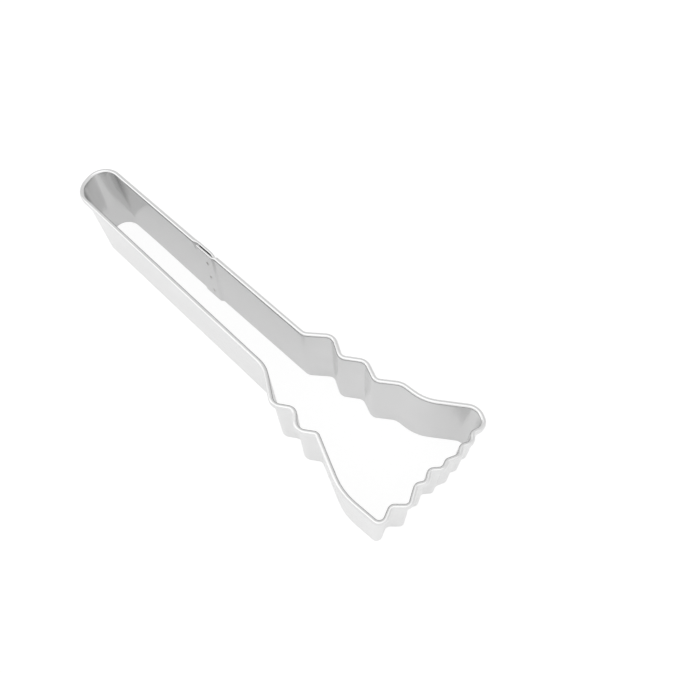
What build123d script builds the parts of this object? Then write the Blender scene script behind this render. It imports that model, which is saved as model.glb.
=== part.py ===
from build123d import *
import os
from math import atan2, cos, degrees, pi, sin

# Cookie cutter in the shape of a besom broom.
# One strip of tinplate stands on its cutting edge and is bent round the outline of the broom.
# Its upper edge is rolled outward into a safe rim. Its two ends lap on one side of the
# handle and are held together by three spot welds.
# X runs along the handle towards the bristles, Y across the broom, Z up.
# The origin is at the middle of the footprint, in the plane of the cutting edge.

# The strip
depth = 25.4             # height of the strip, from cutting edge to rim
wall = 0.3               # thickness of the tinplate
rim_width = 1.3          # rolled rim from the inner face of the wall to its outside
rim_leg = 0.7            # straight part of the rim below its round top
flat_rim_slack = 0.04    # air left inside the rim where it is pressed flat
rim_flat_count = 10      # flats that make the round top of the rim, outside
inner_flat_count = 4     # and inside, where the roll hides them

# The handle, seen from above, between inner faces
handle_length = 80.6     # from the round end to the neck
handle_width_end = 10.4  # beside the round end
handle_width_neck = 11.6 # where the bristles begin
end_radius_far = 4.4     # bend on the far corner of the round end
end_radius_near = 5.0    # bend on the near corner of the round end
neck_radius_far = 3.4
neck_radius_near = 8.0

# The head, seen from above, between inner faces
head_length = 45.6       # from the neck to the furthest tooth of the bristles
lobe_radius = 2.1        # the rounded bulges below and between the bindings
binding_radius = 2.6     # the hollows where the bindings are tied
shoulder_radius = 3.9
flare_radius = 12.0
belly_radius = 15.0
crown_radius = 3.0       # outermost bristles, on the far side
tip_radius = 1.8         # and where they turn in to the wavy ends
corner_radius = 1.2      # outermost bristles, on the near side
tooth_radius = 1.1       # tips of the wavy ends of the bristles
notch_clearance = 0.5    # between the rim and the centre of the tightest hollow

# The lap, measured from the round end of the handle
lap_start = 40.0         # end of the strip that lies inside
lap_length = 5.7         # to the end of the strip that lies outside
lap_slant = 2.3          # the lap lies this much nearer the round end at the cutting edge
joggle_length = 2.2      # over which each end steps out of line before the lap
joggle_margin = 1.0      # from the joggle of the inner end to the first square section
lap_inset = 0.35         # step of the inner end towards the inside of the cutter
foot_inset = 0.3         # further step of the inner end at the cutting edge
lap_gap = 0.05           # air between the two ends where they lie on each other
rim_gap = 0.4            # slot between the two rims in the lap
knee_height = 21.6       # below this height the two ends lie on each other
lean_length = 26.0       # over which the outer end leans in before it reaches the lap

# The spot welds
weld_diameter = 1.5
weld_heights = {"lower": 3.6, "middle": 11.9, "upper": 19.9}
weld_setback = 2.4       # from the end of the outer strip to the welds
weld_dimple = 0.06       # depth of the mark that each electrode leaves

# Values that follow from the sizes above
notch_radius = rim_width + notch_clearance
rim_top_radius = rim_width / 2
flat_top_radius = wall + flat_rim_slack / 2
rim_developed = pi * (rim_top_radius - wall / 2) + rim_leg
flat_leg = rim_developed - pi * (flat_top_radius - wall / 2)
half_end = handle_width_end / 2
half_neck = handle_width_neck / 2
head_start = handle_length
head_end = head_start + head_length


# Corner points of the bent outline, clockwise from above, with the radius of each bend.
# Distances along the head are counted from the neck, distances across from the handle's axis.
far_side = [
    (head_start - 1.1, half_neck, neck_radius_far),
    (head_start + 4.6, 10.4, lobe_radius),
    (head_start + 9.9, 7.4, binding_radius),
    (head_start + 15.2, 11.0, lobe_radius),
    (head_start + 20.4, 8.8, binding_radius),
    (head_start + 25.8, 12.7, shoulder_radius),
    (head_start + 32.4, 13.1, flare_radius),
    (head_start + 42.7, 20.4, crown_radius),
    (head_start + 46.2, 18.5, tip_radius),
]
bristle_ends = [
    (head_end - 0.6, 15.1, notch_radius),
    (head_end + 0.9, 13.4, tooth_radius),
    (head_end - 0.4, 11.2, notch_radius),
    (head_end + 0.8, 9.0, tooth_radius),
    (head_end - 0.5, 6.3, notch_radius),
    (head_end + 0.1, 4.3, tooth_radius),
    (head_end - 2.1, 1.9, notch_radius),
    (head_end - 0.6, -0.8, tooth_radius),
    (head_end - 2.0, -2.8, notch_radius),
    (head_end + 0.2, -7.3, tooth_radius),
    (head_end - 2.9, -10.2, notch_radius),
]
near_side = [
    (head_start + 44.3, -14.7, corner_radius),
    (head_start + 33.2, -15.3, belly_radius),
    (head_start + 19.3, -9.1, notch_radius),
    (head_start + 15.2, -11.9, lobe_radius),
    (head_start + 11.2, -8.2, binding_radius),
    (head_start + 6.5, -11.3, lobe_radius),
    (head_start - 1.8, -half_neck, neck_radius_near),
]
round_end = [
    (1.4, -half_end, end_radius_near),
    (-1.1, half_end, end_radius_far),
]


def far_wall_y(x):
    """Place of the far handle wall's inner face, x from the round end."""
    (x_end, y_end, _), (x_neck, y_neck, _) = round_end[-1], far_side[0]
    return y_end + (y_neck - y_end) * (x - x_end) / (x_neck - x_end)


def far_wall_plane(x, slant=0.0):
    """Plane across the far handle wall, with its x axis outward and its y axis up the wall.

    x is its place at the top of the rim. It lies nearer the round end at the cutting edge, by
    the slant.
    """
    slope = atan2(far_wall_y(1) - far_wall_y(0), 1)
    lean = atan2(slant, depth)
    foot_x = x - slant * cos(slope)
    return Plane(
        origin=(foot_x, far_wall_y(foot_x), 0),
        x_dir=(-sin(slope), cos(slope), 0),
        z_dir=(cos(slope) * cos(lean), sin(slope) * cos(lean), -sin(lean)),
    )


def up_the_wall(plane, height):
    """Distance up a plane across the wall that reaches a height above the cutting edge."""
    return height / plane.y_dir.Z


def bent_path(points):
    """Straight runs joined by arcs that touch them, through (x, y, radius) corner points."""
    corners = [(x, y) for x, y, _ in points]
    radii = [radius for _, _, radius in points[1:-1]]
    return FilletPolyline(*corners, radius=radii)


def round_top(centre, radius, flats):
    """Points over the round top of the rim, from its inner side to its outer side."""
    x, y = centre
    turns = [pi * step / flats for step in range(flats + 1)]
    return [(x - radius * cos(turn), y + radius * sin(turn)) for turn in turns]


def strip_section(plane, foot=0.0, knee=0.0, top=0.0, flat=0.0):
    """Cross-section of the strip with its rolled rim.

    foot, knee and top shift the inner face outward at the cutting edge, the knee and the rim.
    flat runs from 0, a round rim, to 1, a rim pressed flat.
    """
    radius = rim_top_radius + (flat_top_radius - rim_top_radius) * flat
    leg = rim_leg + (flat_leg - rim_leg) * flat
    shoulder = depth - radius
    outside = top + 2 * radius
    centre = (top + radius, shoulder)
    corners = [
        (foot, 0),
        (knee, knee_height),
        *round_top(centre, radius, rim_flat_count),
        (outside, shoulder - leg),
        (outside - wall, shoulder - leg),
        *reversed(round_top(centre, radius - wall, inner_flat_count)),
        (knee + wall, knee_height),
        (foot + wall, 0),
    ]
    section = [(x, up_the_wall(plane, height)) for x, height in corners]
    return plane * Polygon(*section, align=None)


def lofted_run(sections):
    """Straight run of strip whose cross-section changes from one station to the next."""
    runs = [loft([first, second], ruled=True) for first, second in zip(sections, sections[1:])]
    return runs[0] + runs[1:]


def make_strip():
    """The bent strip: one long bent run and the two ends that lap."""
    lap_end = lap_start + lap_length
    run_start = lap_end + joggle_length + joggle_margin
    run_end = lap_start - joggle_length - lean_length
    start = (run_start, far_wall_y(run_start), 0)
    end = (run_end, far_wall_y(run_end), 0)
    path = bent_path([start, *far_side, *bristle_ends, *near_side, *round_end, end])
    bent_run = sweep(strip_section(far_wall_plane(run_start)), path=path)

    inner_foot, inner_top = -(lap_inset + foot_inset), -lap_inset
    inner_lap = dict(foot=inner_foot, knee=inner_top, top=inner_top, flat=1.0)
    inner_end = lofted_run([
        strip_section(far_wall_plane(run_start)),
        strip_section(far_wall_plane(lap_end + joggle_length, lap_slant)),
        strip_section(far_wall_plane(lap_end, lap_slant), **inner_lap),
        strip_section(far_wall_plane(lap_start, lap_slant), **inner_lap),
    ])

    lap_step = wall + lap_gap
    outer_foot, outer_knee = inner_foot + lap_step, inner_top + lap_step
    outer_top = inner_top + 2 * flat_top_radius + rim_gap
    leaned = dict(foot=outer_foot, knee=outer_knee)
    outer_end = lofted_run([
        strip_section(far_wall_plane(run_end)),
        strip_section(far_wall_plane(lap_start - joggle_length, lap_slant), **leaned),
        strip_section(far_wall_plane(lap_start, lap_slant), **leaned, top=outer_top),
        strip_section(far_wall_plane(lap_end, lap_slant), **leaned, top=outer_top),
    ])
    return bent_run + inner_end + outer_end


def lap_face_shift(height):
    """How far the inner end's inner face lies outward of the handle wall at a height."""
    inner_foot = -(lap_inset + foot_inset)
    return inner_foot + foot_inset * min(height / knee_height, 1)


def make_weld(height):
    """One weld: a round slug through both ends, a little sunk on both faces."""
    place = far_wall_plane(lap_start + lap_length - weld_setback, lap_slant)
    inner_face = lap_face_shift(height)
    tilt = degrees(atan2(foot_inset, knee_height))
    slug = Cylinder(weld_diameter / 2, 2 * (wall - weld_dimple) + lap_gap)
    across = Rot(0, 90, -tilt) * slug
    return place * Pos(inner_face + wall + lap_gap / 2, up_the_wall(place, height), 0) * across


strip = make_strip()
welds = {name: make_weld(height) for name, height in weld_heights.items()}
for weld in welds.values():
    strip = strip - weld

# The origin goes to the middle of the footprint
footprint = strip.bounding_box()
to_origin = Pos(-footprint.center().X, -footprint.center().Y, 0)

os.makedirs("parts", exist_ok=True)
export_step(to_origin * strip, "parts/strip.step")
for name, weld in welds.items():
    export_step(to_origin * weld, f"parts/spot_weld_{name}.step")
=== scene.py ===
"""Looks of a broom-shaped tinplate cookie cutter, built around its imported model."""

import logging
from dataclasses import dataclass, field
from enum import Enum
from math import atan2, ceil, cos, pi, radians, sin, tan

import bmesh
import bpy
from mathutils import Matrix, Vector, noise

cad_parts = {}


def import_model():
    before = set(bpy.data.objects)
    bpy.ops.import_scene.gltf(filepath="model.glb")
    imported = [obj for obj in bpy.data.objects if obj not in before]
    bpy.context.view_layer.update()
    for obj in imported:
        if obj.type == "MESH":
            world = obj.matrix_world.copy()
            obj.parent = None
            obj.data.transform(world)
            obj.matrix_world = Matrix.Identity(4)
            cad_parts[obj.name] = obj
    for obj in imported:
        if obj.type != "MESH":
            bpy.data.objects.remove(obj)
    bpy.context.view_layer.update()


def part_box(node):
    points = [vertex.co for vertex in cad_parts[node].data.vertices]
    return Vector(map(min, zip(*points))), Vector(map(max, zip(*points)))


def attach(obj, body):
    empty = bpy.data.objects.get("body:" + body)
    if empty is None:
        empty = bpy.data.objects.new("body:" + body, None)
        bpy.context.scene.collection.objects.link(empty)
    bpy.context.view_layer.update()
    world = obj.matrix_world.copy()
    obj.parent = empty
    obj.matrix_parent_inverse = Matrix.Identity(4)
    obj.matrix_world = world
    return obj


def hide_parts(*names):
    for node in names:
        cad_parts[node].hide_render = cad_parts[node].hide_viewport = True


MM = 0.001
BODY = "root"
# The part's origin, in millimetres from the round end and from the axis of the handle
FOOTPRINT_MIDDLE = (63.4686, 2.3728, 0.0)
# Sockets of a Mix node that hold colours
MIX_FIRST, MIX_SECOND, MIX_RESULT = 6, 7, 2

Colour = tuple[float, float, float, float]
Triple = tuple[float, float, float]

log = logging.getLogger("cookie_cutter")


class Side(Enum):
    """The two ends of the strip in the lap."""

    INNER = "inner"
    OUTER = "outer"


@dataclass(frozen=True)
class Bend:
    """A corner of the outline with the radius of its bend, in millimetres.

    x is measured from the round end of the handle and y from the handle's axis.
    """

    x: float
    y: float
    radius: float

    def point(self) -> Vector:
        """Corner point in the outline's plane."""
        return Vector((self.x, self.y, 0.0))


@dataclass(frozen=True)
class Run:
    """One straight stretch of the outline and the bend that follows it."""

    length: float
    heading: Vector
    centre: Vector | None
    turn: float
    radius: float


@dataclass(frozen=True)
class Shift:
    """How far a cross-section of the strip stands outward of the plain one, in millimetres."""

    foot: float = 0.0
    knee: float = 0.0
    top: float = 0.0
    flat: float = 0.0

    def blend(self, other: "Shift", share: float) -> "Shift":
        """Cross-section between this one and another.

        Args:
            other: the shift at share 1.
            share: 0 for this shift and 1 for the other, eased at both ends.

        Returns:
            The shift in between.
        """
        eased = share * share * (3 - 2 * share)
        pairs = zip(
            (self.foot, self.knee, self.top, self.flat),
            (other.foot, other.knee, other.top, other.flat),
        )
        return Shift(*[first + (second - first) * eased for first, second in pairs])


@dataclass
class Outline:
    """The broom's outline at the inner face of the strip, seen from above."""

    handle_length: float = 80.6
    handle_width_end: float = 10.4
    handle_width_neck: float = 11.6
    end_radius_far: float = 4.4
    end_radius_near: float = 5.0
    neck_radius_far: float = 3.4
    neck_radius_near: float = 8.0
    head_length: float = 45.6
    lobe_radius: float = 2.1
    binding_radius: float = 2.6
    shoulder_radius: float = 3.9
    flare_radius: float = 12.0
    belly_radius: float = 15.0
    crown_radius: float = 3.0
    tip_radius: float = 1.8
    corner_radius: float = 1.2
    notch_radius: float = 1.8
    tooth_radius: float = 1.1

    def far_side(self) -> list[Bend]:
        """Bends from the neck along the far side of the head to its corner."""
        neck, lobe, tie = self.handle_length, self.lobe_radius, self.binding_radius
        return [
            Bend(neck - 1.1, self.handle_width_neck / 2, self.neck_radius_far),
            Bend(neck + 4.6, 10.4, lobe),
            Bend(neck + 9.9, 7.4, tie),
            Bend(neck + 15.2, 11.0, lobe),
            Bend(neck + 20.4, 8.8, tie),
            Bend(neck + 25.8, 12.7, self.shoulder_radius),
            Bend(neck + 32.4, 13.1, self.flare_radius),
            Bend(neck + 42.7, 20.4, self.crown_radius),
            Bend(neck + 46.2, 18.5, self.tip_radius),
        ]

    def bristle_ends(self) -> list[Bend]:
        """Bends of the wavy ends of the bristles, hollows and teeth in turn."""
        end = self.handle_length + self.head_length
        notch, tooth = self.notch_radius, self.tooth_radius
        return [
            Bend(end - 0.6, 15.1, notch),
            Bend(end + 0.9, 13.4, tooth),
            Bend(end - 0.4, 11.2, notch),
            Bend(end + 0.8, 9.0, tooth),
            Bend(end - 0.5, 6.3, notch),
            Bend(end + 0.1, 4.3, tooth),
            Bend(end - 2.1, 1.9, notch),
            Bend(end - 0.6, -0.8, tooth),
            Bend(end - 2.0, -2.8, notch),
            Bend(end + 0.2, -7.3, tooth),
            Bend(end - 2.9, -10.2, notch),
        ]

    def near_side(self) -> list[Bend]:
        """Bends from the near corner of the head back to the neck."""
        neck, lobe, tie = self.handle_length, self.lobe_radius, self.binding_radius
        return [
            Bend(neck + 44.3, -14.7, self.corner_radius),
            Bend(neck + 33.2, -15.3, self.belly_radius),
            Bend(neck + 19.3, -9.1, self.notch_radius),
            Bend(neck + 15.2, -11.9, lobe),
            Bend(neck + 11.2, -8.2, tie),
            Bend(neck + 6.5, -11.3, lobe),
            Bend(neck - 1.8, -self.handle_width_neck / 2, self.neck_radius_near),
        ]

    def round_end(self) -> list[Bend]:
        """The two bends that make the round end of the handle."""
        half = self.handle_width_end / 2
        return [
            Bend(1.4, -half, self.end_radius_near),
            Bend(-1.1, half, self.end_radius_far),
        ]

    def far_wall(self, x: float) -> Vector:
        """Point on the far handle wall at a distance from the round end."""
        start, end = self.round_end()[-1], self.far_side()[0]
        share = (x - start.x) / (end.x - start.x)
        return start.point().lerp(end.point(), share)

    def runs(self, start: float, end: float) -> list[Run]:
        """Straight stretches and bends of the whole outline, clockwise from above.

        Args:
            start: where the outline begins on the far handle wall, in millimetres.
            end: where it ends on the same wall, having gone all the way round.

        Returns:
            The runs in order; the last one has no bend.
        """
        bends = self.far_side() + self.bristle_ends() + self.near_side() + self.round_end()
        corners = [self.far_wall(start)] + [b.point() for b in bends] + [self.far_wall(end)]
        headings = [(b - a).normalized() for a, b in zip(corners, corners[1:])]
        turns = [atan2(a.cross(b).z, a.dot(b)) for a, b in zip(headings, headings[1:])]
        cuts = [b.radius * tan(abs(turn) / 2) for b, turn in zip(bends, turns)]
        runs = []
        for index, heading in enumerate(headings):
            whole = (corners[index + 1] - corners[index]).length
            before = cuts[index - 1] if index else 0.0
            if index == len(bends):
                runs.append(Run(whole - before, heading, None, 0.0, 0.0))
                continue
            after, radius, turn = cuts[index], bends[index].radius, turns[index]
            left = Vector((-heading.y, heading.x, 0.0))
            side = 1.0 if turn > 0 else -1.0
            centre = corners[index + 1] - heading * after + left * radius * side
            runs.append(Run(whole - before - after, heading, centre, turn, radius))
        return runs


@dataclass(frozen=True)
class ElectrodeMark:
    """The mark of one electrode: a dimple in the sheet, its raised lip and a heat tint.

    Radius and depth are in millimetres, and every other place and width in radii.
    """

    radius: float = 0.85
    depth: float = 0.11
    lip_share: float = 0.3
    lip_place: float = 1.15
    lip_width: float = 0.3
    heat: float = 0.7
    heat_reach: float = 1.9

    def profile(self, near: float) -> float:
        """Share of the depth at a distance from the middle, below 0 on the lip."""
        sink = max(0.0, 1 - near * near)
        lip = self.lip_share * max(0.0, 1 - abs(near - self.lip_place) / self.lip_width)
        return sink - lip

    def warmth(self, near: float) -> float:
        """Strength of the heat tint at a distance from the middle."""
        return self.heat * max(0.0, 1 - near / self.heat_reach)


@dataclass
class TinplateStrip:
    """The bent strip with its rolled rim and its lapped ends, sizes in millimetres."""

    outline: Outline
    origin: Vector
    depth: float = 25.4  # from the cutting edge to the rim
    wall: float = 0.3
    rim_width: float = 1.3
    rim_leg: float = 0.7  # straight part of the rim below its round top
    flat_rim_slack: float = 0.04  # air inside the rim where it is pressed flat

    # The lap, from the end of the strip that lies inside to the one that lies outside
    lap_start: float = 39.6
    lap_length: float = 6.0
    lap_slant: float = 2.3  # it lies this much nearer the round end at the cutting edge
    inner_joggle: float = 1.0  # over which the inner end steps out of line
    inner_upright: float = 3.2  # over which it then comes to stand square
    outer_joggle: float = 2.2
    lap_inset: float = 0.35  # step of the inner end towards the inside of the cutter
    foot_inset: float = 0.3  # its further step at the cutting edge
    lap_gap: float = 0.05
    rim_gap: float = 0.26  # slot between the two rims
    rim_gap_end: float = 0.02
    closing_length: float = 1.5  # over which the slot closes at its end
    outer_press: float = 0.8  # how flat the outer end's rim is, 1 being fully flat
    knee_height: float = 21.6  # below it the two ends lie on each other
    lean_length: float = 26.0  # over which the outer end leans in before the lap

    # The spot welds, in line under their place at the top of the rim
    weld_x: float = 43.3
    weld_heights: tuple[float, ...] = (3.6, 11.9, 19.9)
    electrode_mark: ElectrodeMark = ElectrodeMark()
    face_tolerance: float = 0.05  # how far off a face its vertices may lie

    # Slight unevenness of the wall, and the lean of the round end at the cutting edge
    wave_height: float = 0.03
    wave_length: float = 9.0
    wave_rise: float = 14.0
    end_lean: float = 0.95
    end_reach: float = 9.0

    # How finely the mesh is divided
    ring_step: float = 0.9
    lap_step: float = 0.22
    bend_step: float = radians(7)
    top_steps: int = 14
    lower_rows: int = 12
    upper_rows: int = 4
    mark_rows: int = 6
    mark_rows_reach: float = 1.6
    row_clearance: float = 0.5
    sharp_angle: float = radians(40)
    levels: list[float] = field(default_factory=list)

    def __post_init__(self) -> None:
        """Chooses the heights of the rows of faces, closer together at the welds."""
        rows = self.lower_rows
        coarse = [self.knee_height * n / rows for n in range(rows + 1)]
        rows = self.mark_rows
        fine = [
            weld + self.electrode_mark.radius * self.mark_rows_reach * n / rows
            for weld in self.weld_heights
            for n in range(-rows, rows + 1)
        ]
        kept = [z for z in coarse if min(abs(z - f) for f in fine) > self.row_clearance]
        rise = self.depth - self.rim_width / 2 - self.knee_height
        rows = self.upper_rows
        upper = [self.knee_height + rise * n / rows for n in range(rows)]
        self.levels = sorted({round(z, 3) for z in kept + fine + upper})

    def lap_shift(self, side: Side) -> Shift:
        """Cross-section of one end of the strip in the lap."""
        foot, knee = -(self.lap_inset + self.foot_inset), -self.lap_inset
        if side is Side.INNER:
            return Shift(foot, knee, knee, 1.0)
        step = self.wall + self.lap_gap
        rims = 2 * (self.wall + self.flat_rim_slack / 2) + self.rim_gap
        return Shift(foot + step, knee + step, knee + rims, self.outer_press)

    def section(self, shift: Shift) -> list[tuple[float, float]]:
        """Points round the cross-section of the strip, in millimetres.

        Args:
            shift: how the cross-section stands at this place.

        Returns:
            Pairs of outward distance and height, starting at the cutting edge.
        """
        flat_radius = self.wall + self.flat_rim_slack / 2
        radius = self.rim_width / 2
        rolled = pi * (radius - self.wall / 2) + self.rim_leg
        flat_leg = rolled - pi * (flat_radius - self.wall / 2)
        radius += (flat_radius - radius) * shift.flat
        leg = self.rim_leg + (flat_leg - self.rim_leg) * shift.flat
        shoulder = self.depth - radius
        turns = [pi * n / self.top_steps for n in range(self.top_steps + 1)]
        middle = shift.top + radius
        hollow = radius - self.wall

        def face(z: float) -> float:
            """How far outward the inner face stands at a height."""
            low = shift.foot + (shift.knee - shift.foot) * min(z / self.knee_height, 1.0)
            over = max(z - self.knee_height, 0.0) / (shoulder - self.knee_height)
            return low + (shift.top - shift.knee) * over * over * (3 - 2 * over)

        rise = [(face(z), z) for z in self.levels]
        over_top = [(middle - radius * cos(t), shoulder + radius * sin(t)) for t in turns]
        outside = shift.top + 2 * radius
        hem = [(outside, shoulder - leg / 2), (outside, shoulder - leg)]
        hem += [(outside - self.wall, shoulder - leg), (outside - self.wall, shoulder - leg / 2)]
        under_top = [
            (middle + hollow * cos(t), shoulder + hollow * sin(t)) for t in turns[::2]
        ]
        fall = [(face(z) + self.wall, z) for z in reversed(self.levels)]
        return rise + over_top + hem + under_top + fall

    def place_ring(self, ring: list, x: float, shift: Shift, slant: float) -> None:
        """Moves a ring of vertices to its cross-section on the far handle wall.

        Args:
            ring: the vertices in the section's order.
            x: place of the ring at the top of the rim, from the round end of the handle.
            shift: how the cross-section stands there.
            slant: how much nearer the round end it is at the cutting edge, in millimetres.
        """
        outward = self.far_outward()
        for vertex, (out, z) in zip(ring, self.section(shift)):
            base = self.outline.far_wall(x - slant * (1 - z / self.depth))
            place = base + outward * out + Vector((0.0, 0.0, z))
            vertex.co = (place - self.origin) * MM

    def extrude(self, bm: bmesh.types.BMesh, ring: list, travelled: float) -> list:
        """Draws the end of the strip out by one row of faces.

        Args:
            bm: the strip so far.
            ring: the vertices at its end.
            travelled: distance along the strip of the new end, in millimetres.

        Returns:
            The vertices of the new end, in the same order.
        """
        along, facing = bm.verts.layers.float["along"], bm.verts.layers.float["facing"]
        edges = [bm.edges.get((a, b)) for a, b in zip(ring, ring[1:] + ring[:1])]
        made = bmesh.ops.extrude_edge_only(bm, edges=edges)["geom"]
        new = {v for v in made if isinstance(v, bmesh.types.BMVert)}
        end = []
        for vertex in ring:
            far = [e.other_vert(vertex) for e in vertex.link_edges]
            end.append(next(v for v in far if v in new))
        for old, vertex in zip(ring, end):
            vertex[along] = travelled * MM
            vertex[facing] = old[facing]
        return end

    def outer_shift(self, x: float) -> Shift:
        """Cross-section of the outer end at a distance from the round end."""
        lap = self.lap_shift(Side.OUTER)
        leaning = Shift(lap.foot, lap.knee, 0.0, 0.0)
        kink = self.lap_start - self.outer_joggle
        if x >= self.lap_start:
            closed = Shift(lap.foot, lap.knee, lap.top + self.rim_gap_end - self.rim_gap, lap.flat)
            past = x - self.lap_start - self.lap_length + self.closing_length
            return lap.blend(closed, max(0.0, past / self.closing_length))
        if x >= kink:
            return leaning.blend(lap, (x - kink) / self.outer_joggle)
        share = max(0.0, 1 - (kink - x) / self.lean_length)
        return Shift().blend(leaning, share)

    def inner_shift(self, x: float) -> Shift:
        """Cross-section of the inner end at a distance from the round end."""
        lap_end = self.lap_start + self.lap_length
        share = min(max((x - lap_end) / self.inner_joggle, 0.0), 1.0)
        return self.lap_shift(Side.INNER).blend(Shift(), share)

    def slant_at(self, x: float, side: Side) -> float:
        """How far the strip's cross-section lies back at the cutting edge, in millimetres."""
        if side is Side.INNER:
            past = x - self.lap_start - self.lap_length - self.inner_joggle
            return self.lap_slant * (1 - max(past, 0.0) / self.inner_upright)
        kink = self.lap_start - self.outer_joggle
        return self.lap_slant * max(0.0, 1 - max(kink - x, 0.0) / self.lean_length)

    def follow(self, bm: bmesh.types.BMesh) -> None:
        """Draws the strip along the outline from its inner end to its outer end."""
        run_start = self.lap_start + self.lap_length + self.inner_joggle + self.inner_upright
        run_end = self.lap_start - self.outer_joggle - self.lean_length
        travelled = run_start - self.lap_start
        first = self.first_ring(bm)
        ring = self.inner_end(bm, first, run_start)
        ring, travelled = self.bend_round(bm, ring, travelled, run_start, run_end)
        ring = self.outer_end(bm, ring, travelled, run_end)
        for end in (first, ring):
            bm.faces.new(end)

    def first_ring(self, bm: bmesh.types.BMesh) -> list:
        """Makes the closed ring of vertices at the inner end of the strip.

        Args:
            bm: an empty bmesh, which gets the layers along and facing.

        Returns:
            The vertices in the section's order.
        """
        bm.verts.layers.float.new("along")
        facing = bm.verts.layers.float.new("facing")
        ring = [bm.verts.new() for _ in self.section(Shift())]
        for a, b in zip(ring, ring[1:] + ring[:1]):
            bm.edges.new((a, b))
        rows = len(self.levels)
        for vertex in ring[:rows]:
            vertex[facing] = 1.0
        for vertex in ring[-rows:]:
            vertex[facing] = -1.0
        self.place_ring(ring, self.lap_start, self.inner_shift(self.lap_start), self.lap_slant)
        return ring

    def inner_end(self, bm: bmesh.types.BMesh, ring: list, run_start: float) -> list:
        """Draws the inner end out of the lap, over its joggle, until it stands square.

        Args:
            bm: the strip so far.
            ring: the vertices at its end.
            run_start: where the plain strip begins on the far handle wall.

        Returns:
            The vertices of the new end.
        """
        start, length = self.lap_start, run_start - self.lap_start
        steps = round(length / self.lap_step)
        for n in range(1, steps + 1):
            here = start + length * n / steps
            ring = self.extrude(bm, ring, here - start)
            slant = self.slant_at(here, Side.INNER)
            self.place_ring(ring, here, self.inner_shift(here), slant)
        return ring

    def outer_end(
        self, bm: bmesh.types.BMesh, ring: list, travelled: float, run_end: float
    ) -> list:
        """Draws the outer end as it leans in, over its joggle and through the lap.

        Args:
            bm: the strip so far.
            ring: the vertices at its end.
            travelled: distance along the strip of that end, in millimetres.
            run_end: where the plain strip ends on the far handle wall.

        Returns:
            The vertices of the new end.
        """
        coarse = ceil(self.lean_length / self.ring_step)
        stations = [run_end + self.ring_step * n for n in range(1, coarse)]
        start, length = self.lap_start - self.outer_joggle, self.outer_joggle + self.lap_length
        fine = round(length / self.lap_step)
        stations += [start + length * n / fine for n in range(fine + 1)]
        for before, here in zip([run_end] + stations, stations):
            travelled += here - before
            ring = self.extrude(bm, ring, travelled)
            slant = self.slant_at(here, Side.OUTER)
            self.place_ring(ring, here, self.outer_shift(here), slant)
        return ring

    def bend_round(
        self, bm: bmesh.types.BMesh, ring: list, travelled: float, start: float, end: float
    ) -> tuple[list, float]:
        """Draws the plain strip round the broom, straight runs and bends in turn.

        Args:
            bm: the strip so far.
            ring: the vertices at its end.
            travelled: distance along the strip of that end, in millimetres.
            start: where the outline begins on the far handle wall.
            end: where it ends on that wall.

        Returns:
            The vertices of the new end and its distance along the strip.
        """
        for run in self.outline.runs(start, end):
            steps = max(1, round(run.length / self.ring_step))
            step = run.heading * (run.length / steps) * MM
            for _ in range(steps):
                travelled += run.length / steps
                ring = self.extrude(bm, ring, travelled)
                bmesh.ops.translate(bm, verts=ring, vec=step)
            if run.centre is None:
                continue
            steps = max(2, round(abs(run.turn) / self.bend_step))
            turn = Matrix.Rotation(run.turn / steps, 3, "Z")
            centre = (run.centre - self.origin) * MM
            centre.z = 0.0
            for _ in range(steps):
                travelled += abs(run.turn) * run.radius / steps
                ring = self.extrude(bm, ring, travelled)
                bmesh.ops.rotate(bm, verts=ring, cent=centre, matrix=turn)
        return ring, travelled

    def press_dimples(self, bm: bmesh.types.BMesh) -> None:
        """Sinks the electrode marks into both faces of the lap and marks their heat."""
        heat = bm.verts.layers.float.new("heat")
        mark, outward = self.electrode_mark, self.far_outward()
        inner, outer = self.lap_shift(Side.INNER), self.lap_shift(Side.OUTER)
        for height in self.weld_heights:
            rise = min(height / self.knee_height, 1.0)
            back = self.lap_slant * (1 - height / self.depth)
            base = self.outline.far_wall(self.weld_x - back) - self.origin
            faces = (
                (inner.foot + (inner.knee - inner.foot) * rise, 1.0),
                (outer.foot + (outer.knee - outer.foot) * rise + self.wall, -1.0),
            )
            for out, press in faces:
                centre = (base + outward * out + Vector((0, 0, height))) * MM
                for vertex in bm.verts:
                    away = vertex.co - centre
                    near = away.length / MM / mark.radius
                    off_face = abs(away.dot(outward)) > self.face_tolerance * MM
                    if near > mark.heat_reach or off_face:
                        continue
                    vertex.co += outward * mark.depth * mark.profile(near) * press * MM
                    vertex[heat] = max(vertex[heat], mark.warmth(near))

    def far_outward(self) -> Vector:
        """Unit vector across the far handle wall, away from the inside of the cutter."""
        heading = (self.outline.far_wall(1.0) - self.outline.far_wall(0.0)).normalized()
        return Vector((-heading.y, heading.x, 0.0))

    def make_uneven(self, bm: bmesh.types.BMesh) -> None:
        """Gives the wall the slight waves of strip that was bent round pins."""
        along, facing = bm.verts.layers.float["along"], bm.verts.layers.float["facing"]
        bm.normal_update()
        for vertex in bm.verts:
            if not vertex[facing]:
                continue
            height = vertex.co.z / MM
            distance = vertex[along] / MM
            where = Vector((distance / self.wave_length, height / self.wave_rise, 0.0))
            wave = noise.noise(where) * self.wave_height * sin(pi * height / self.depth)
            vertex.co -= vertex.normal * wave * vertex[facing] * MM

    def lean_end(self, bm: bmesh.types.BMesh) -> None:
        """Leans the wall of the round end out towards the cutting edge."""
        rim_foot = self.depth - self.rim_width / 2 - self.rim_leg
        for vertex in bm.verts:
            x = vertex.co.x / MM + self.origin.x
            near = min(max(1 - x / self.end_reach, 0.0), 1.0)
            drop = max(0.0, 1 - vertex.co.z / MM / rim_foot)
            vertex.co.x -= self.end_lean * near * near * (3 - 2 * near) * drop * MM

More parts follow.
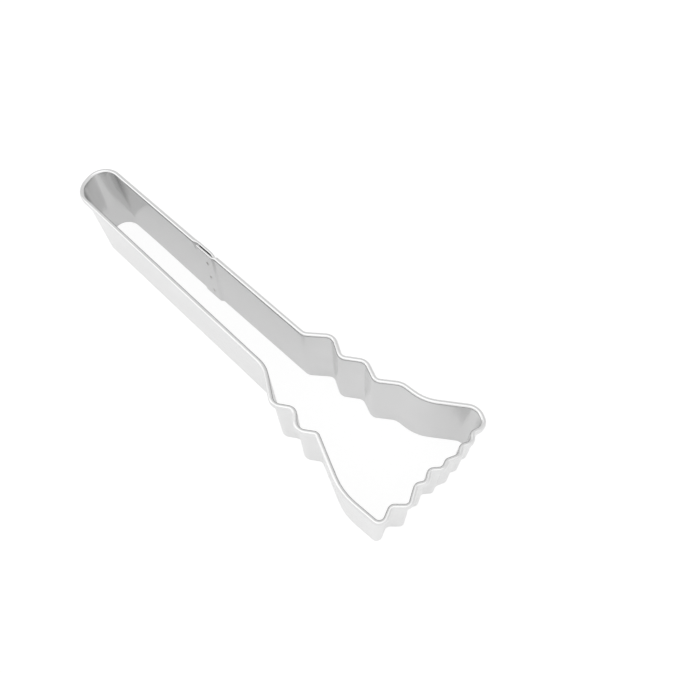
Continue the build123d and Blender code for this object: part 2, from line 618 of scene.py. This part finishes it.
    def build(self) -> bpy.types.Object:
        """Makes the strip.

        Returns:
            The finished piece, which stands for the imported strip.
        """
        bm = bmesh.new()
        self.follow(bm)
        bmesh.ops.recalc_face_normals(bm, faces=bm.faces)
        self.make_uneven(bm)
        self.lean_end(bm)
        self.press_dimples(bm)
        piece = finished_piece("tinplate_strip", bm, self.sharp_angle)
        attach(piece, BODY)
        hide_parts("strip")
        return piece


@dataclass
class WeldSlug:
    """The fused metal of one spot weld, seen in the mark of the electrode.

    Radius and crown are in millimetres. The shoulder is given in shares of them, and the
    inset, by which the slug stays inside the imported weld, as a share of the crown.
    """

    node: str
    radius: float = 0.52
    crown: float = 0.03
    shoulder_out: float = 0.6
    shoulder_drop: float = 0.3
    inset: float = 0.25
    facets: int = 28
    sharp_angle: float = radians(60)
    merge_distance: float = 1e-7

    def build(self) -> bpy.types.Object:
        """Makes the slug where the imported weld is.

        Returns:
            The finished piece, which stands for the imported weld.
        """
        low, high = (Vector(corner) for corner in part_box(self.node))
        centre = (low + high) / 2
        edge, crown = self.radius * MM, self.crown * MM
        half = (high.y - low.y) / 2 - crown * self.inset
        shoulder = (edge * self.shoulder_out, half - crown * self.shoulder_drop)
        profile = [(0.0, half), shoulder, (edge, half - crown)]
        profile += [(out, -rise) for out, rise in reversed(profile)]
        bm = bmesh.new()
        line = [bm.verts.new((out, rise, 0.0)) for out, rise in profile]
        edges = [bm.edges.new((a, b)) for a, b in zip(line, line[1:])]
        bmesh.ops.spin(
            bm, geom=line + edges, cent=(0, 0, 0), axis=(0, 1, 0), angle=2 * pi,
            steps=self.facets, use_merge=True,
        )
        bmesh.ops.remove_doubles(bm, verts=bm.verts, dist=self.merge_distance)
        bmesh.ops.recalc_face_normals(bm, faces=bm.faces)
        bmesh.ops.translate(bm, verts=bm.verts, vec=centre)
        name = self.node.replace("spot_weld", "weld_slug")
        piece = finished_piece(name, bm, self.sharp_angle)
        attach(piece, BODY)
        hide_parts(self.node)
        return piece


def finished_piece(
    name: str, bm: bmesh.types.BMesh, sharp: float = radians(30)
) -> bpy.types.Object:
    """Turns a bmesh into a shaded object in the scene.

    Args:
        name: the piece's name.
        bm: its shape, freed here.
        sharp: angle in radians past which an edge stays sharp.

    Returns:
        The new object, at the origin.
    """
    mesh = bpy.data.meshes.new(name)
    bm.to_mesh(mesh)
    bm.free()
    for polygon in mesh.polygons:
        polygon.use_smooth = True
    mesh.set_sharp_from_angle(angle=sharp)
    piece = bpy.data.objects.new(name, mesh)
    bpy.context.scene.collection.objects.link(piece)
    log.info("%s: %d faces", name, len(mesh.polygons))
    return piece


class Nodes:
    """Shorthand for the node tree of one material or world."""

    def __init__(self, owner: bpy.types.Material | bpy.types.World) -> None:
        """Starts an empty tree on its owner."""
        owner.use_nodes = True
        self.tree = owner.node_tree
        self.tree.nodes.clear()

    def add(self, kind: str, **settings: object) -> bpy.types.Node:
        """Adds a node.

        Args:
            kind: the node's type name.
            settings: properties to set, or inputs where the name is one.

        Returns:
            The new node.
        """
        node = self.tree.nodes.new(kind)
        for name, value in settings.items():
            if hasattr(node, name):
                setattr(node, name, value)
            else:
                node.inputs[name.replace("_", " ")].default_value = value
        return node

    def join(self, source: bpy.types.NodeSocket, target: bpy.types.NodeSocket) -> None:
        """Links one socket to another."""
        self.tree.links.new(source, target)

    def feed(self, socket: bpy.types.NodeSocket, value: object) -> None:
        """Links a socket to a value that is a socket, or sets it to a number or colour."""
        if isinstance(value, bpy.types.NodeSocket):
            self.join(value, socket)
        else:
            socket.default_value = value

    def math(self, operation: str, first: object, second: object) -> bpy.types.NodeSocket:
        """Adds a Math node.

        Args:
            operation: its operation.
            first: a socket or a number.
            second: a socket or a number.

        Returns:
            Its result.
        """
        node = self.add("ShaderNodeMath", operation=operation)
        self.feed(node.inputs[0], first)
        self.feed(node.inputs[1], second)
        return node.outputs[0]

    def ramp(
        self, value: bpy.types.NodeSocket, low: float, high: float, start: float, end: float
    ) -> bpy.types.NodeSocket:
        """Maps a value from one range to another, eased at both ends.

        Args:
            value: the socket to map.
            low: where the range begins.
            high: where it ends.
            start: result at its beginning.
            end: result at its end.

        Returns:
            The mapped value.
        """
        node = self.add("ShaderNodeMapRange", interpolation_type="SMOOTHSTEP")
        self.join(value, node.inputs["Value"])
        ends = {"From Min": low, "From Max": high, "To Min": start, "To Max": end}
        for name, number in ends.items():
            node.inputs[name].default_value = number
        return node.outputs["Result"]

    def mix(
        self, share: bpy.types.NodeSocket, first: object, second: object
    ) -> bpy.types.NodeSocket:
        """Mixes two colours.

        Args:
            share: share of the second colour.
            first: a socket or a colour.
            second: a socket or a colour.

        Returns:
            The mixed colour.
        """
        node = self.add("ShaderNodeMix", data_type="RGBA")
        self.join(share, node.inputs["Factor"])
        self.feed(node.inputs[MIX_FIRST], first)
        self.feed(node.inputs[MIX_SECOND], second)
        return node.outputs[MIX_RESULT]


@dataclass(frozen=True)
class Tinplate:
    """Bright tinplate with rolling grain along the strip and a soft cloudy lustre.

    Scales are in waves to the metre along the strip and up it. A range is the stretch of the
    noise over which its effect comes in.
    """

    light: Colour = (0.815, 0.815, 0.815, 1.0)
    dull: Colour = (0.795, 0.795, 0.795, 1.0)
    heat: Colour = (0.52, 0.50, 0.48, 1.0)
    bare: Colour = (0.55, 0.55, 0.55, 1.0)
    cloud_scale: Triple = (90.0, 110.0, 1.0)
    cloud_range: tuple[float, float] = (0.35, 0.65)
    lustre_range: tuple[float, float] = (0.3, 0.7)
    octaves: float = 3.0
    grain_scale: Triple = (260.0, 9000.0, 1.0)
    grain_range: tuple[float, float] = (0.55, 0.8)
    grain_share: float = 0.35
    grain_relief: float = 0.006
    grain_depth: float = 0.00002
    speck_octaves: float = 2.0
    speck_scale: Triple = (2600.0, 2600.0, 1.0)
    speck_range: tuple[float, float] = (0.6, 0.8)
    roughness_low: float = 0.19
    roughness_high: float = 0.23
    speck_roughness: float = 0.02
    heat_roughness: float = 0.2
    worn_height: float = 0.0004
    worn_share: float = 0.8

    def material(self) -> bpy.types.Material:
        """Builds the material.

        Returns:
            The finish of the strip.
        """
        material = bpy.data.materials.new("bright_tinplate")
        nodes = Nodes(material)
        along = nodes.add("ShaderNodeAttribute", attribute_name="along").outputs["Fac"]
        place = nodes.add("ShaderNodeTexCoord").outputs["Object"]
        split = nodes.add("ShaderNodeSeparateXYZ")
        nodes.join(place, split.inputs[0])
        height = split.outputs["Z"]
        surface = nodes.add("ShaderNodeCombineXYZ")
        nodes.join(along, surface.inputs["X"])
        nodes.join(height, surface.inputs["Y"])

        grain = self.noise(nodes, surface.outputs[0], self.grain_scale, self.octaves)
        clouds = self.noise(nodes, surface.outputs[0], self.cloud_scale, self.octaves)
        specks = self.noise(nodes, surface.outputs[0], self.speck_scale, self.speck_octaves)

        cloudy = nodes.ramp(clouds, *self.cloud_range, 0.0, 1.0)
        mottled = nodes.mix(cloudy, self.dull, self.light)
        streaks = nodes.ramp(grain, *self.grain_range, 0.0, self.grain_share)
        streaked = nodes.mix(streaks, mottled, self.dull)
        edge = nodes.ramp(height, 0.0, self.worn_height, self.worn_share, 0.0)
        worn = nodes.mix(edge, streaked, self.bare)
        warmth = nodes.add("ShaderNodeAttribute", attribute_name="heat").outputs["Fac"]
        colour = nodes.mix(warmth, worn, self.heat)

        lustre = nodes.ramp(
            clouds, *self.lustre_range, self.roughness_low, self.roughness_high
        )
        rougher = nodes.ramp(specks, *self.speck_range, 0.0, self.speck_roughness)
        rough = nodes.math("ADD", lustre, rougher)
        heated = nodes.math("ADD", rough, nodes.math("MULTIPLY", warmth, self.heat_roughness))

        bump = nodes.add(
            "ShaderNodeBump", Strength=self.grain_relief, Distance=self.grain_depth
        )
        nodes.join(grain, bump.inputs["Height"])

        shader = nodes.add("ShaderNodeBsdfPrincipled", Metallic=1.0)
        nodes.join(colour, shader.inputs["Base Color"])
        nodes.join(heated, shader.inputs["Roughness"])
        nodes.join(bump.outputs[0], shader.inputs["Normal"])
        output = nodes.add("ShaderNodeOutputMaterial")
        nodes.join(shader.outputs[0], output.inputs["Surface"])
        return material

    def noise(
        self, nodes: Nodes, place: bpy.types.NodeSocket, scale: Triple, detail: float
    ) -> bpy.types.NodeSocket:
        """Noise on the unrolled strip.

        Args:
            nodes: the material's tree.
            place: distance along the strip and height, in metres.
            scale: waves to the metre along the strip and up it.
            detail: octaves of the noise.

        Returns:
            The noise, about 0.5.
        """
        stretch = nodes.add("ShaderNodeMapping")
        nodes.join(place, stretch.inputs["Vector"])
        stretch.inputs["Scale"].default_value = scale
        texture = nodes.add("ShaderNodeTexNoise", Scale=1.0, Detail=detail)
        nodes.join(stretch.outputs[0], texture.inputs["Vector"])
        return texture.outputs["Fac"]


@dataclass(frozen=True)
class WeldMetal:
    """Dull fused steel with a brownish heat tint."""

    grey: Colour = (0.58, 0.57, 0.55, 1.0)
    brown: Colour = (0.38, 0.34, 0.30, 1.0)
    mottle_scale: float = 2200.0
    mottle_detail: float = 4.0
    mottle_range: tuple[float, float] = (0.35, 0.65)
    roughness: float = 0.45
    relief: float = 0.6
    relief_depth: float = 0.00003

    def material(self) -> bpy.types.Material:
        """Builds the material.

        Returns:
            The finish of the weld slugs.
        """
        material = bpy.data.materials.new("fused_weld_metal")
        nodes = Nodes(material)
        place = nodes.add("ShaderNodeTexCoord").outputs["Object"]
        mottle = nodes.add(
            "ShaderNodeTexNoise", Scale=self.mottle_scale, Detail=self.mottle_detail
        )
        nodes.join(place, mottle.inputs["Vector"])
        tint = nodes.ramp(mottle.outputs["Fac"], *self.mottle_range, 0.0, 1.0)
        colour = nodes.mix(tint, self.grey, self.brown)
        bump = nodes.add("ShaderNodeBump", Strength=self.relief, Distance=self.relief_depth)
        nodes.join(mottle.outputs["Fac"], bump.inputs["Height"])
        shader = nodes.add("ShaderNodeBsdfPrincipled", Metallic=1.0, Roughness=self.roughness)
        nodes.join(colour, shader.inputs["Base Color"])
        nodes.join(bump.outputs[0], shader.inputs["Normal"])
        output = nodes.add("ShaderNodeOutputMaterial")
        nodes.join(shader.outputs[0], output.inputs["Surface"])
        return material


@dataclass(frozen=True)
class SoftBox:
    """A square lamp that faces the object, with place and side in metres and power in watts."""

    name: str
    place: Triple
    size: float
    power: float

    def build(self) -> None:
        """Hangs the lamp."""
        light = bpy.data.lights.new(self.name, "AREA")
        light.shape, light.size, light.energy = "SQUARE", self.size, self.power
        lamp = bpy.data.objects.new(self.name, light)
        lamp.location = self.place
        lamp.rotation_euler = (-Vector(self.place)).to_track_quat("-Z", "Y").to_euler()
        bpy.context.scene.collection.objects.link(lamp)


@dataclass
class Studio:
    """Pale floor, soft light from above and a white surround.

    The surround is light on the near side, towards near_heading, and greyer on the far side.
    The floor shows to the camera as white paper with a soft shadow. Glows are the shares of
    plain white in what the camera and the metal see of it.
    """

    floor_radius: float = 2.5
    floor_sides: int = 96
    floor_drop: float = 0.00002
    floor_colour: Colour = (0.94, 0.94, 0.94, 1.0)
    floor_glow: float = 0.85
    mirrored_glow: float = 0.41
    paper_white: float = 1.08
    near_level: float = 0.98
    far_level: float = 0.76
    near_heading: Triple = (0.6, -0.8, 0.0)
    level_reach: float = 0.7
    overhead: SoftBox = SoftBox("overhead_box", (0.0, -0.2, 0.9), 0.9, 1.0)
    window: SoftBox = SoftBox("window_box", (-0.6, -0.6, 0.55), 0.6, 0.5)

    def floor(self) -> None:
        """Makes the floor, just below the cutting edge."""
        bm = bmesh.new()
        bmesh.ops.create_circle(
            bm, cap_ends=True, radius=self.floor_radius, segments=self.floor_sides
        )
        bmesh.ops.translate(bm, verts=bm.verts, vec=(0, 0, -self.floor_drop))
        plane = finished_piece("floor", bm)
        material = bpy.data.materials.new("white_floor")
        nodes = Nodes(material)
        path = nodes.add("ShaderNodeLightPath")
        seen = nodes.math("MULTIPLY", path.outputs["Is Camera Ray"], self.floor_glow)
        mirrored = nodes.math("MULTIPLY", path.outputs["Is Glossy Ray"], self.mirrored_glow)
        share = nodes.math("ADD", seen, mirrored)
        paper = nodes.add("ShaderNodeBsdfDiffuse", Color=self.floor_colour)
        white = nodes.add("ShaderNodeEmission", Color=(1, 1, 1, 1), Strength=self.paper_white)
        mixed = nodes.add("ShaderNodeMixShader")
        nodes.join(share, mixed.inputs[0])
        nodes.join(paper.outputs[0], mixed.inputs[1])
        nodes.join(white.outputs[0], mixed.inputs[2])
        output = nodes.add("ShaderNodeOutputMaterial")
        nodes.join(mixed.outputs[0], output.inputs["Surface"])
        plane.data.materials.append(material)

    def surround(self) -> None:
        """Lights the object softly from all round and shows white to the camera."""
        world = bpy.data.worlds.new("soft_surround")
        bpy.context.scene.world = world
        nodes = Nodes(world)
        path = nodes.add("ShaderNodeLightPath")
        way = nodes.add("ShaderNodeVectorMath", operation="DOT_PRODUCT")
        nodes.join(nodes.add("ShaderNodeTexCoord").outputs["Generated"], way.inputs[0])
        way.inputs[1].default_value = self.near_heading
        reach = self.level_reach
        level = nodes.ramp(
            way.outputs["Value"], -reach, reach, self.far_level, self.near_level
        )
        soft = nodes.add("ShaderNodeBackground", Color=(1, 1, 1, 1))
        nodes.join(level, soft.inputs["Strength"])
        white = nodes.add("ShaderNodeBackground", Color=(1, 1, 1, 1), Strength=1.0)
        mixed = nodes.add("ShaderNodeMixShader")
        nodes.join(path.outputs["Is Camera Ray"], mixed.inputs[0])
        nodes.join(soft.outputs[0], mixed.inputs[1])
        nodes.join(white.outputs[0], mixed.inputs[2])
        output = nodes.add("ShaderNodeOutputWorld")
        nodes.join(mixed.outputs[0], output.inputs["Surface"])

    def build(self) -> None:
        """Sets up floor, surround and lamps."""
        self.floor()
        self.surround()
        self.overhead.build()
        self.window.build()


@dataclass
class PhotoCamera:
    """The camera, placed as the photograph was taken, in millimetres and degrees."""

    place: Triple = (78.83, -42.95, 182.66)
    heading: float = 47.25
    tilt: float = 64.0
    roll: float = -3.71
    focal_pixels: float = 701.0
    frame_pixels: float = 673.0
    sensor: float = 36.0
    clip_start: float = 1.0

    def build(self) -> bpy.types.Object:
        """Makes the camera and gives it to the scene.

        Returns:
            The camera.
        """
        lens = bpy.data.cameras.new("photo_camera")
        lens.sensor_width = self.sensor
        lens.lens = self.sensor * self.focal_pixels / self.frame_pixels
        lens.clip_start = self.clip_start * MM
        turn, dip, lean = radians(self.heading), radians(self.tilt), radians(self.roll)
        ahead = Vector((-sin(turn) * cos(dip), cos(turn) * cos(dip), -sin(dip)))
        right = Vector((cos(turn), sin(turn), 0.0))
        down = ahead.cross(right)
        across = right * cos(lean) - down * sin(lean)
        below = right * sin(lean) + down * cos(lean)
        axes = Matrix((across, -below, -ahead)).transposed()
        camera = bpy.data.objects.new("photo_camera", lens)
        camera.matrix_world = Matrix.Translation(Vector(self.place) * MM) @ axes.to_4x4()
        bpy.context.scene.collection.objects.link(camera)
        bpy.context.scene.camera = camera
        return camera


def main() -> None:
    """Builds the cutter's pieces in order, dresses them and sets the stage."""
    logging.basicConfig(level=logging.INFO, format="%(message)s")
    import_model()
    scene = bpy.context.scene
    scene.view_settings.view_transform = "Standard"

    strip = TinplateStrip(Outline(), Vector(FOOTPRINT_MIDDLE)).build()
    strip.data.materials.append(Tinplate().material())
    fused = WeldMetal().material()
    for level in ("lower", "middle", "upper"):
        slug = WeldSlug(f"spot_weld_{level}").build()
        slug.data.materials.append(fused)

    Studio().build()
    PhotoCamera().build()


if __name__ == "__main__":
    main()
